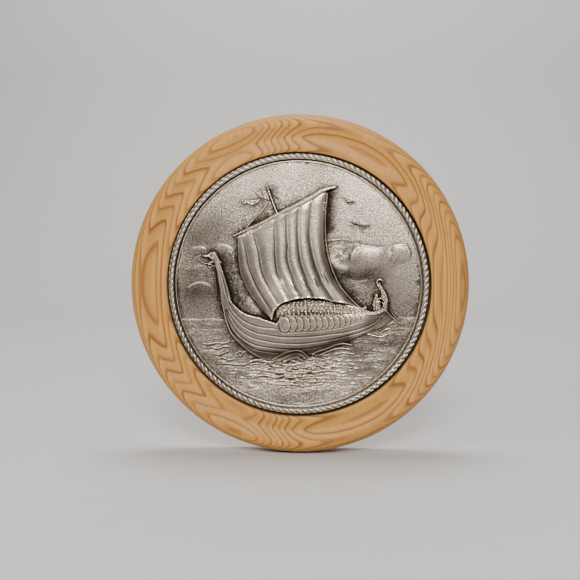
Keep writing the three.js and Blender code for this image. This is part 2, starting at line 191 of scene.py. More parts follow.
def lap(points, height, fade, rise=0.15, mask=None, taper=0.1):
    """An edge that stands proud on the curve's left side and falls away from it."""
    path = smooth_path(points)
    w = region(path, 4 * fade)
    gap, side, share = nearest(path, X[w], Z[w])
    ends = ease(share, 0, taper) * (1 - ease(share, 1 - taper, 1)) if taper else 1
    step = (1 - np.exp(-gap / rise)) * np.exp(-((gap / fade) ** 1.5))
    H[w] += np.where(side > 0, table(height, share) * step * ends, 0) * (1 if mask is None else mask[w])


def oval(x, z, rx, rz, angle=0.0, w=...):
    """Over the grid or its window w: zero at the middle of an oval, 1 on its edge, rising as a square."""
    c, s = math.cos(math.radians(angle)), math.sin(math.radians(angle))
    dx, dz = X[w] - x, Z[w] - z
    return ((dx * c + dz * s) / rx) ** 2 + ((dz * c - dx * s) / rz) ** 2


def dome(x, z, rx, rz, height, foot=0.0, angle=0.0, power=0.5):
    """A dome on an oval, at its own height."""
    w = region(np.array([[x, z]]), max(rx, rz))
    out = oval(x, z, rx, rz, angle, w)
    level = foot + (height - foot) * np.clip(1 - out, 0, 1) ** power
    H[w] = np.where(out < 1, np.maximum(H[w], level), H[w])


def mound(x, z, rx, rz, height, angle=0.0):
    """A soft swelling added to what is there."""
    H[:] += height * np.clip(1 - oval(x, z, rx, rz, angle), 0, 1) ** 1.5


def patina_and_light(points, width, amount):
    """Patina and painted shade (negative), burnishing and painted highlights (positive), softly along a
    curve.
    """
    path = smooth_path(points)
    w = region(path, 2.5 * width)
    gap, _, _ = nearest(path, X[w], Z[w])
    WEAR_AND_PAINTED_LIGHT[w] += amount * np.exp(-((gap / width) ** 2))


# ---- curves of the ship, (x, z) ----
SHEER = [
    (-47.6, 3), (-46.6, -2), (-44.6, -6.5), (-42.6, -9.5), (-38.5, -14), (-35, -17), (-31.5, -18.8),
    (-28, -20), (-23.5, -20.9), (-20, -22.2), (-17, -23.3), (-14, -24.2),
]
RAIL = [
    (-14, -24.2), (-12, -22.3), (-10.4, -20), (-4, -19.4), (8, -19.2), (20, -19), (30, -18.3), (40, -17.6),
    (44, -16.6), (47, -17.3), (50, -16), (53.5, -16.5),
]
KEEL = [
    (-48.1, -3), (-47.2, -10), (-46, -15), (-44.7, -21.5), (-42, -29), (-39.5, -32.5), (-36, -36.5),
    (-32, -40), (-28, -43), (-24, -45), (-20, -46.3), (-14, -47), (-6, -46.4), (4, -44.6), (14, -41.6),
    (24, -38.2), (35, -33.2), (45, -29), (53, -25.4), (57.2, -22.4), (57.6, -20), (56, -18.2), (53.5, -16.5),
]
PLANKS = [
    [(-43.4, -8), (-40.6, -15), (-36, -20), (-32, -23), (-27.5, -25), (-22, -26.3), (-17, -26.8),
     (-12, -27.5)],
    [(-44.4, -10), (-42, -16.5), (-39, -20.5), (-34, -25.5), (-30, -28), (-25, -30), (-20, -30.8),
     (-10, -32.2), (0, -32.3), (10, -31.7), (20, -30.5), (30, -29.2), (40, -26.5), (47, -23), (52, -18.5)],
    [(-45, -12), (-43.4, -17), (-41, -21), (-37, -27), (-32, -31), (-27, -33.2), (-22, -34.5), (-12, -36),
     (0, -36.5), (10, -35.6), (20, -34), (30, -31.8), (40, -29), (45, -26.5), (50, -22.5), (53.5, -18.5)],
    [(-45.2, -14), (-42.5, -22), (-38.5, -29), (-34, -33.5), (-29, -36.3), (-24, -38), (-14, -39.4),
     (-3, -40), (8, -39.4), (20, -37)],
    [(-45.2, -17), (-43.5, -23), (-40, -30), (-35, -35), (-30, -38.7), (-25, -40.7), (-15, -42.2),
     (-5, -42.8)],
]
LUFF = [
    (-37.5, 28.4), (-37.6, 22), (-37.3, 17), (-36.7, 11), (-35.8, 6.5), (-34, 2), (-32, -2.5), (-29, -7.5),
    (-25.5, -12), (-22.5, -16), (-19, -19.8), (-16, -23),
]
SEAMS = [
    [(-34.6, 28.6), (-33.5, 25), (-32, 20), (-31, 14), (-30, 10), (-28, 5), (-26, 0.5), (-24, -3.5),
     (-21, -8.5), (-18.5, -12.5), (-16, -17), (-14.5, -24)],
    [(-27.6, 33), (-26, 26), (-24.2, 20), (-22.7, 10.5), (-21, 5), (-19, 1), (-17, -2.5), (-15, -6),
     (-12.5, -10), (-10, -16), (-9, -24)],
    [(-14.5, 39), (-14.3, 25), (-14, 17), (-12.7, 7.5), (-10, 2), (-8, -3), (-5.7, -7), (-3, -14), (-2, -24)],
    [(-7.2, 43), (-7, 30), (-6.5, 25), (-6.5, 16), (-5, 10), (-3, 5), (-1, 0), (1, -4), (3, -7), (5, -14),
     (6, -24)],
    [(0.3, 47), (-0.2, 35), (0.2, 25), (1.3, 16), (3, 10), (5, 5), (7, 0), (9, -4), (10.5, -7), (14, -14),
     (15, -24)],
    [(8.5, 51), (7.4, 38), (7, 30), (8, 23), (9, 18), (11, 11), (13, 6), (15, 1.5), (18, -3), (22, -9),
     (26, -14), (28, -24)],
]
LEECH = [
    (17.6, 57), (16.4, 46), (15.8, 36), (15.8, 30), (16.2, 25), (17.2, 18), (19.6, 11), (22, 5.4),
    (24.8, 0.2), (28.4, -4.6), (31.6, -8.4), (34.6, -11.6), (38, -14.6),
]
BOLT_ROPE = [
    (18.3, 56.2), (17.2, 46), (16.9, 38), (17.1, 30), (17.5, 25), (18.3, 20), (19.8, 14), (21, 10),
    (22.5, 6.5), (24.5, 2), (27, -2), (30, -5.7), (33, -9), (36, -12), (38.5, -14), (41, -14.6),
]
FOOT = [
    (-16, -23), (-15.3, -19.5), (-14.6, -16.8), (-13, -14.5), (-11, -12.6), (-9, -11.3), (-6, -10.2),
    (-3, -9.3), (0, -8.7), (4, -8.3), (7.5, -8.1), (11, -8.4), (15, -8.7), (18, -9.3), (21, -10.2),
    (25, -11), (30, -11.7), (33, -12.5), (38, -14.6),
]
YARD = [(-39.8, 30), (-30, 34.4), (-20, 39), (-12.5, 43.2), (0, 49.3), (10, 54.7), (15, 57.7), (23.2, 60)]
HULL = np.vstack([smooth_path(SHEER), smooth_path(RAIL), smooth_path(KEEL)[::-1]])


# ---- sky and clouds ----
def sky():
    H[:] += 0.35 * ease(R, 50, 74) + 0.06 * cloudy(9, 1)


def clouds():
    banks = [  # the edge, with the cloud on its left, then height, fade and rise
        ([(70, 16), (69.4, 20.2), (67.8, 24.2), (63.8, 25.8), (59, 25), (55, 22.4)], 1.3, 6, 0.6),
        ([(57, 21), (54, 23.2), (48, 24.2), (42, 25), (36.6, 26.2), (33, 28)], 1.2, 7, 0.5),
        ([(36, 25), (32, 28), (26, 28.6), (19, 27.8), (16.6, 27.4)], 1.1, 3, 0.25),
        ([(39, 26), (35, 23), (32.4, 18.6), (32.8, 13.6)], 0.9, 6, 0.3),
        ([(38.4, 21.8), (36.4, 19.4), (35.8, 16.4)], 0.45, 3, 0.3),
        ([(31, 21), (27.4, 24), (23, 24), (18.5, 21)], 0.6, 5, 0.5),
        ([(31, 2.6), (35, 1.4), (39.4, 1.2), (44, 3)], 0.8, 3, 0.4),
        ([(34.6, -1.4), (38, -2.2), (42, -1.2)], 0.4, 2.4, 0.3),
        ([(50, 8), (55, 4.6), (61, 4.4), (66, 7)], 0.3, 5, 1.2),
        ([(-56, 21.4), (-58.6, 23), (-62, 23.8), (-66.5, 22.6)], 0.6, 2.4, 0.5),
        ([(-38.6, 12), (-38.6, 17), (-39.4, 21.4), (-41.6, 23.6), (-44.6, 24.8), (-49.4, 25)], 0.8, 3.4, 0.5),
        ([(-38.6, 14), (-40.8, 19.1), (-43.5, 21.5)], 0.45, 2, 0.3),
        ([(-53.2, -3), (-54.6, -0.4), (-58.3, 1.5), (-62.9, 1.5), (-67, 0), (-71, -4)], 1.0, 2.4, 0.5),
        ([(-55, 9.5), (-58, 12), (-62, 12.4), (-66, 10.6), (-69, 7)], 0.4, 3, 0.6),
        ([(-56, 17), (-60, 18.2), (-65, 16.4)], 0.4, 2, 0.4),
    ]
    crisp = np.zeros_like(H)  # one along the edges, which the blur leaves sharp
    for points, height, fade, rise in banks:
        lap(points, height, fade, rise, taper=0.2)
        gap, _, _ = nearest(smooth_path(points), X, Z)
        crisp = np.maximum(crisp, np.exp(-((gap / 1.2) ** 2)))
    H[:] = crisp * H + (1 - crisp) * blur(H, 6)
    for swelling in [
        (43, 13, 19, 12, 1.5, 8), (23.6, 15, 8, 7.5, 1.1, -20), (62, 19, 8.5, 7, 0.7), (33, 17.5, 5, 5, 0.5),
        (-46, 18, 8, 7, 0.4), (-64, 9, 8, 4, 0.3), (-34, -2, 5, 9, 0.5, 25),
    ]:
        mound(*swelling)
    H[:] += 0.25 * cloudy(1.6, 31) * np.exp(-oval(-33.5, -1, 3.4, 7))
    H[:] += 0.16 * cloudy(1.8, 32) * np.exp(-oval(27, 17, 8, 8))


def gulls():
    crest([(28.8, 53.4), (31, 51), (33, 51.7), (35.5, 51)], [0.6, 1.5, 0.6], 0.7)
    crest([(32, 39), (35.4, 38), (39, 36.8), (44, 36.8)], [0.6, 1.5, 0.7], 0.7)


# ---- sea ----
def sea():
    horizon = -20.9 + 0.012 * X + 0.25 * np.sin(X / 2.3)
    H[:] += 0.4 * ease(horizon - Z, -0.15, 0.25)
    H[:] += (0.13 * cloudy(2.6, 4, 2.6) + 0.12 * cloudy(7, 5, 2)) * ease(horizon - Z, 0, 6)
    # the larger waves, each with a hollow below its crest
    for points, width, height in [
        ([(-60, -36.6), (-56, -37.2), (-51, -36.2), (-47, -36.6), (-42.8, -35.8)], 1.3, 0.8),
        ([(-59, -39.6), (-54, -39), (-50, -39.8), (-46, -38.6), (-42.2, -39)], 1.3, 0.8),
        ([(-52.4, -43.4), (-49, -43.6), (-46, -42.4), (-42.6, -41.5)], 1.4, 0.9),
        ([(-50, -46), (-46, -45.6), (-43, -46.8), (-39.4, -46.4)], 1.5, 0.9),
        ([(-50, -49.6), (-44, -49.2), (-38, -49.9), (-33, -49.6)], 1.2, 0.7),
        ([(-37.4, -44.6), (-35.4, -44.4), (-34, -42.2), (-31.6, -41.8)], 1.4, 0.8),
        ([(-31.4, -49), (-28.6, -47.4), (-24.8, -46.6), (-21, -47.2), (-18, -48)], 1.7, 1.3),
        ([(-19, -48), (-15.6, -50.4), (-12, -50.6), (-9, -51.6)], 2.0, 1.2),
        ([(-31.4, -53.4), (-27, -52.4), (-23, -52.8), (-18.4, -53.6), (-11, -54.4)], 1.6, 1.1),
        ([(-27, -57), (-21, -56.4), (-16, -57.4), (-9, -57), (-4, -58.6)], 1.6, 1.1),
        ([(6, -50.8), (12, -50), (17, -51.4), (23, -50.6), (28, -51.4)], 1.6, 1.0),
        ([(12.6, -47.2), (15, -46.4), (17.6, -47.4)], 1.4, 0.9),
        ([(30.4, -52.4), (32, -51.4), (34.4, -51.6)], 1.5, 0.9),
        ([(-2, -54), (4, -53), (10, -54.2), (16, -53.2), (26, -53.8)], 1.6, 1.1),
        ([(-12, -62.4), (-4, -62), (3, -63), (9, -62.2)], 1.4, 0.8),
    ]:
        crest(points, [0.6, width, width, 0.6], 1.35 * height)
        crest([(x, z - 1.2) for x, z in points], 1.5, -0.6 * height)
    # rows of small waves, tallest below the middle of the hull
    for z in np.arange(-23.4, -68, -1.75):
        end = math.sqrt(71**2 - z * z)
        x = rng.uniform(0, 5) - end
        while x < end:
            length = rng.uniform(3, 7.5)
            core = math.exp(-(((x + length / 2 + 2) / 27) ** 2))
            core *= float(ease(-z, 42, 48) * (1 - ease(-z, 60, 66)))
            if rng.random() < 0.45 + 0.5 * core:
                drift = np.cumsum(rng.uniform(-0.4, 0.4, 5))
                points = [(x + length * k / 4, z + rng.uniform(-0.3, 0.3) + drift[k]) for k in range(5)]
                tall = (0.15 + 1.25 * core) * rng.uniform(0.6, 1.4)
                crest(points, [0.5, rng.uniform(0.9, 1.8), rng.uniform(0.7, 1.4), 0.5], tall)
                crest([(px, pz - 1) for px, pz in points], 1.3, -0.5 * tall)
            x += length * 0.8 + rng.uniform(0.2, 3)


def wash():
    """Water thrown up along the hull."""
    for points, width, height in [
        ([(-16, -46.6), (-12, -44.4), (-7, -42), (-1, -40.7), (3, -41.8), (6.4, -45)], [1, 2.6, 2.2, 1], 3.2),
        ([(-12, -47.4), (-7, -45), (-2, -43.2), (2, -43.6), (5.5, -46.4)], [0.8, 1.8, 1.6, 0.8], 2.3),
        ([(-9, -48.4), (-4, -46), (0, -45.6), (3.4, -47.6)], [0.8, 1.8, 0.8], 1.7),
        ([(9, -43.6), (12, -41.6), (18, -39.6), (24, -37.2), (29, -36.5), (34, -37.4)],
         [0.8, 2.4, 2, 0.8], 2.2),
        ([(13, -43.8), (19, -41.2), (26, -39.4), (33, -40.2)], [0.8, 1.8, 0.8], 1.7),
        ([(22, -43.4), (28, -42.2), (35, -43)], [0.8, 1.4, 0.8], 1.2),
        ([(-39, -43.4), (-36.4, -41.8), (-33, -42.4)], [0.6, 1.2, 0.6], 1.2),
        ([(-31, -48.6), (-26, -47.2), (-20, -48), (-15, -48.4)], [0.8, 2, 0.9], 1.6),
        ([(43, -30.4), (47, -31.4), (51, -32), (55.5, -30.4)], [0.6, 1.4, 0.6], 1.9),
        ([(50.5, -29.6), (54, -27.6), (58, -26.6)], [0.6, 1.5, 0.6], 2.0),
        ([(55, -24.8), (58.6, -23.2), (60.4, -23.8)], [0.6, 1.4, 0.6], 1.8),
        ([(59, -28), (63, -27), (67, -27.6)], [0.6, 1, 0.6], 1.0),
    ]:
        bar(points, width, height, power=0.8)


# ---- hull ----
def hull():
    mask = inside(HULL, X, Z)
    top = np.vstack([smooth_path(SHEER), smooth_path(RAIL)])
    w = region(HULL, 1)
    to_top, _, _ = nearest(top, X[w], Z[w])
    to_keel, _, _ = nearest(smooth_path(KEEL), X[w], Z[w])
    down = to_top / (to_top + to_keel + 1e-6)
    fullness = np.interp(X[w], [-49, -42, -30, -12, 10, 30, 45, 57], [0.25, 0.55, 0.85, 1, 1, 0.9, 0.62, 0.3])
    body = 1.0 + 2.9 * fullness * np.cos(0.5 * math.pi * down**1.4 * 0.9)
    H[w] = np.where(mask[w], np.maximum(H[w], body), H[w])
    for plank in PLANKS:
        lap(plank, 0.2, 3, 0.3, mask, taper=0.04)
        crest(plank, 1.0, -0.85)
    # stem and keel
    bar([(-50.5, 9), (-49.2, 3)] + KEEL[:13], [0.7, 1.2, 1.6, 1.7, 1.6, 1.3, 1],
        [2, 2.2, 2.2, 2.1, 1.9, 1.6, 1.3], 0.4)
    # cap of the sheer, with a moulding above it
    bar(SHEER, [1.1, 1.2, 1.3, 1.3, 1.2], [3.0, 3.4, 3.9, 4.2, 4.3], 1.5)
    crest([(-46, 2), (-44.8, -3), (-42.8, -7), (-40, -10.6), (-37, -14.2), (-33, -16.6), (-28, -18.2),
           (-23, -19.2)], 0.9, 0.5)
    # fine planks and the cap at the stern
    for k in range(5):
        crest([(54.2 + 0.5 * k, -17.2 - 0.7 * k), (50, -20 - 1.3 * k), (43, -24.4 - 1.6 * k)], 0.7, -0.45)
    bar(RAIL[2:7], [1.0, 0.9], [4.2, 3.6, 2.9], 1.5)
    bar([(42, -15.6), (43.6, -16.3), (46, -16.9), (48.6, -16.7), (51, -15.8), (53, -14.8)], 0.7, 3.5, 1.5)
    bar([(41.6, -17.2), (44.2, -18), (47.2, -18), (50, -17.2), (53, -15.8)], 0.7, 3.6, 1.5)


def shields():
    """Round shields overlapping along the rail: each covers the left edge of the next."""
    for k in range(13, -1, -1):
        t = k / 13
        wide, tall = 3.5 - 0.9 * t, np.interp(t, [0, 0.35, 0.7, 1], [4.9, 4.5, 3.6, 2.2])
        x = -4.6 + 4.25 * k - 0.055 * k * k - wide
        z = np.interp(x, [-8, 20, 40], [-19.8, -19.4, -18.2]) - tall
        w = region(np.array([[x, z]]), tall + 0.4)
        rho = np.hypot((X[w] - x) / wide, (Z[w] - z) / tall)
        base = np.interp(t, [0, 0.5, 1], [4.3, 4.1, 3.0])
        rim = 0.3 * np.exp(-(((rho - 0.87) / 0.12) ** 2))
        boss = 0.15 * np.clip(1 - (rho / 0.2) ** 2, 0, 1) ** 0.5
        face = base + 0.1 * (1 - rho**2) + rim + boss + 0.6 * (X[w] - x) / wide
        H[w] = np.where(rho < 1, face, H[w] - 0.7 * ease(rho, 0.9, 1) * (1 - ease(rho, 1.02, 1.14)))


def crew():
    """Five rows of heads over a deck, and the foot of the mast among them."""
    deck = smooth_path([
        (-13.4, -21), (-13.2, -16), (-10, -12.2), (-3, -9.4), (4, -8.4), (10, -8.4), (18, -9.4), (26, -11.4),
        (33, -12.8), (41, -15.2), (43, -17), (30, -18.6), (10, -19.4), (-10, -20.4),
    ])
    mask = inside(deck, X, Z)
    H[mask] = np.maximum(H[mask], 2.0)
    rows = [(-3, 22, -10.5), (-7, 29, -12.4), (-9.5, 35, -14.4), (-11.8, 39, -16.3), (-12.6, 41, -18.3)]
    for row, (start, stop, z0) in enumerate(rows):
        x = start + rng.uniform(0, 1.6)
        while x < stop:
            t = (x + 12) / 53
            z = z0 - 1.1 * t * t + rng.uniform(-0.45, 0.45)
            if row < 3:
                z -= 0.9 * (1 - float(ease(x, -13, -2)))
            size = rng.uniform(0.95, 1.15) - 0.3 * t
            dome(x, z, size, size * rng.uniform(0.85, 1.15), rng.uniform(3.1, 3.7), 1.8, power=0.6)
            x += 2.6 - 0.6 * t + rng.uniform(-0.5, 0.5)
    bar([(-2.4, -11.3), (4, -11), (9, -11.4), (20, -12)], 0.5, 2.9, 1)
    bar([(8, -12.2), (14, -12.2), (22, -13)], 0.45, 2.9, 1)
    bar([(4.4, -8), (5, -14.4)], 1.1, 3.1, 0.8)


def prow():
    # neck: one body that widens into the sheer, with fine lines along it
    bar([(-43.2, -13.4), (-44, -10), (-46.2, 0), (-48.4, 9), (-50.4, 16)], [6.6, 6.2, 5.2, 4, 4.2],
        [2.8, 3.0, 3.2, 3.3, 3.2], 0.5, 0.4)
    for shift, height in ((-1.9, 0.4), (-0.9, -0.4), (0.3, 0.4), (1.1, -0.5), (1.9, 0.6)):
        crest([(-43.2 + 1.5 * shift, -13.4), (-44 + 1.35 * shift, -10), (-46.2 + 1.1 * shift, 0),
               (-48.4 + 0.8 * shift, 9), (-50.2 + 0.8 * shift, 14)], 0.8, height)
    for k in range(11):
        dome(-51.5 + 0.09 * k, 6.4 - 1.35 * k, 0.6, 0.55, 0.95, 0)
    # head: skull, mane, snout, eye and the lower jaw with its curls
    dome(-52.1, 17.3, 2.9, 2.7, 3.7, 0.6, 20)
    bar([(-55.4, 18), (-53.6, 19.3), (-51.6, 19.3), (-49.9, 17.2), (-48.9, 15), (-47, 13.3)],
        [1.2, 2.1, 2.7, 2.2, 1.5, 0.9], [3.6, 4.4, 4.6, 4.1, 3.5, 2.6], 0.5)
    bar([(-54.2, 17.6), (-56.6, 17.7), (-59.2, 17.7)], [2.3, 1.9, 1.1], [4.0, 3.4, 2.4], 0.4)
    crest([(-53.4, 17.7)] * 2 + [(-53.3, 17.6)], 1.5, -1.1, taper=False)
    dome(-53.8, 16.7, 0.6, 0.5, 3.9, 2)
    bar([(-52, 14.2), (-55.6, 13), (-58.8, 13.3), (-60.4, 14.2), (-61.6, 15.6)], [2.2, 1.4, 1, 0.8, 0.5],
        [1.9, 1.6, 1.5, 1.4, 0.8], 0.3)
    bar([(-55.4, 12.1), (-54.4, 12.4), (-53.4, 12)], 0.7, 1.8, 0.2)
    bar([(-55.4, 10.9), (-54.2, 10.2), (-53, 11.3), (-51.7, 11.7), (-50.8, 10.8)], 0.8, 1.9, 0.2)


def stern():
    # post: a wedge with a raised edge each side, ending in a hooked finial
    bar([(53.6, -16), (54, -12), (53.8, -8.4), (52.4, -4.8), (50.8, -1.6), (49.6, 0.4)],
        [4, 3.6, 2.9, 2.4, 1.8, 1.4], [2.4, 2.5, 2.4, 2.2, 2.1], 0.4)
    bar([(54, -12), (55, -9.6), (54.6, -7), (53.4, -4.6), (51.8, -2), (50.4, 0.4)], 0.8,
        [2.7, 3.1, 3.1, 2.7, 2.6], 0.4)
    bar([(52.2, -6.6), (50.8, -3.2), (49, -0.2)], 0.7, 2.7, 0.4)
    bar([(48.6, 0.9), (48.6, 2.2), (49.6, 3.1), (51.4, 3.2), (52.5, 2.2)], [0.9, 1.2, 1.2, 1.1, 0.8], 3, 0.4)
    dome(50.2, 0.9, 0.75, 0.7, 3.2)
    # helmsman: cloak, head and arms, with the tiller
    bar([(49, -15.4), (48.9, -12), (48.9, -8.8)], [5, 4.4, 3], [2.2, 2.2, 2.3], 0.6)
    bar([(46.9, -15.2), (46.8, -11), (47.6, -7.4)], [1.4, 0.9, 0.9], [3.5, 3.1, 3.1], 0.6)
    dome(48.2, -6.4, 1.4, 1.35, 4.4, 1)
    bar([(48.4, -8.7), (51.2, -8.2), (52.8, -9.5), (54, -11.2)], [0.9, 1.2, 1, 0.8], [3.3, 3.7, 3.5, 3], 1)
    bar([(48, -10.5), (51, -10.4)], 0.9, 3.5, 1)
    bar([(51.8, -11), (53, -12.2), (52.2, -13.6)], 0.8, 3.2, 1)
    for x, z in [(51.5, -6.8), (52.5, -7.7), (53.8, -8.8), (48.4, -14.8), (50.2, -15), (51.6, -14.8)]:
        dome(x, z, 0.65, 0.6, 3.5, 1)
    # steering oar
    bar([(53.8, -15.6), (57.4, -19.2), (61.2, -22.6), (64.4, -24.4)], [1, 1.2, 1.3, 1.6],
        [2.9, 2.1, 1.7, 1.2], 0.2)
    bar([(58.2, -17.4), (60.2, -19.8), (62.4, -21.8)], 0.8, 1.5, 0.2)
    # clew knot
    dome(41.6, -13.9, 1.4, 1.3, 4, 1)
    dome(40.3, -15.4, 1.1, 1, 3.7, 1)


# ---- sail and rigging ----
def sail():
    top = smooth_path([(x + 0.3, z - 1.2) for x, z in YARD])
    outline = np.vstack([smooth_path(LUFF), smooth_path(FOOT), smooth_path(LEECH)[::-1], top[::-1]])
    mask = inside(outline, X, Z)
    curves = [smooth_path(edge)[::-1] for edge in [LUFF] + SEAMS + [LEECH]]
    gores = len(curves) - 1
    yard_at = np.interp(X, *smooth_path(YARD).T)
    rows, cols = region(outline, 1)
    for i in range(rows.start, rows.stop):
        z = line[i]
        knots = np.array([np.interp(z, c[:, 1], c[:, 0]) for c in curves])
        knots = np.maximum.accumulate(knots)
        x = line[cols]
        gore = np.clip(np.searchsorted(knots, x) - 1, 0, gores - 1)
        left, right = knots[gore], knots[gore + 1]
        u = np.clip((x - left) / np.maximum(right - left, 0.5), 0, 1)
        across = (gore + u) / gores
        down = np.clip((yard_at[i, cols] - z) / 55, 0, 1)
        belly = (0.42 + 0.58 * down**1.7) * 4 * across * (1 - across)
        depth = (0.5 + 0.6 * ease(down, 0.1, 0.8)) * np.minimum(1, (right - left) / 5)
        roll = np.sin(math.pi * u) ** 0.8
        level = 1.0 + 4.0 * belly + depth * roll
        H[i, cols] = np.where(mask[i, cols], np.maximum(H[i, cols], level), H[i, cols])
    for seam in SEAMS:
        part = [p for p in seam if p[1] > np.interp(p[0], *np.array(FOOT).T) + 0.8]
        crest(part, 0.7, -0.5)
        crest([(x + 0.45, z) for x, z in part], 0.55, 0.55)
    # hem along the luff and the bolt-rope along the leech
    crest([(x + 0.7, z) for x, z in LUFF], 1, 0.35)
    bar(BOLT_ROPE, 0.95, [3.1, 2.8, 2.7, 2.7, 2.9, 3.0], 0.4)
    crest([(x, z + 0.5) for x, z in FOOT[1:-1]], 0.9, 0.3)
    crest([(x + 0.1, z - 0.6) for x, z in FOOT[1:-2]], 1.1, -1.3)
    # folds near the foot
    folds = [(-4, 2, 3, -6), (2.5, 4, 3.4, -6.6), (9, 4.6, 3.6, -7), (-10.6, 4, 3, -7), (14.6, 8, 4, -8)]
    for x, z, dx, dz in folds:
        crest([(x, z), (x + dx * 0.5, z + dz * 0.5), (x + dx, z + dz)], [1, 2.4, 1.6], 0.5)


def rigging():
    bar(YARD, [1.4, 2.5, 2.7, 2.7, 2.8, 3, 2.8, 1.8], [2.4, 3.4, 3.8, 3.9, 3.9, 3.8, 3.2], 0.6)
    crest([(x + 0.3, z - 0.5) for x, z in YARD], 0.6, -0.4)
    bar([(-12.6, 43.6), (-16, 52.4), (-19.2, 61.2)], [1.6, 1.5, 1.3], [3.4, 2.6, 2.2], 0.1)
    bar([(-32, 35), (-25, 42.6), (-18.4, 49.8)], 0.8, 1.5, 0)
    crest([(x + 0.6, z - 1.7) for x, z in YARD], 0.7, -0.5)
    # over its left part the sail's head sags between lashings to the yard
    lashings = [-36, -30.3, -22.6, -15, -7.3, 0.6]
    for a, b in zip(lashings, lashings[1:]):
        za, zb = (np.interp(x, *np.array(YARD).T) - 2.1 for x in (a, b))
        sag = [(a + 0.7, za), (a + 0.35 * (b - a), 0.65 * za + 0.35 * zb - 1.2),
               (a + 0.7 * (b - a), 0.3 * za + 0.7 * zb - 1.1), (b - 0.5, zb - 0.1)]
        crest(sag, 0.7, 0.4, taper=False)


def pennant():
    for top, low, height in [
        ([(-18.3, 56.9), (-21, 58), (-26.2, 56.6)], [(-17.3, 51.8), (-20.6, 53), (-24, 54.4)], 2.1),
        ([(-22.6, 53), (-27, 52), (-31, 51.8), (-35.2, 52.4)],
         [(-24.6, 50.6), (-28, 49.2), (-31.4, 50.3), (-33.4, 49.6)], 1.5),
    ]:
        shape = np.vstack([smooth_path(top), smooth_path(low)[::-1]])
        w = region(shape, 1)
        folds = 0.35 * np.sin(1.9 * X[w] + 0.8 * Z[w])
        H[w] = np.where(inside(shape, X[w], Z[w]), np.maximum(H[w], height + folds), H[w])
        crest(top, 0.9, 0.6, taper=False)
        crest(low, 0.8, 0.5, taper=False)


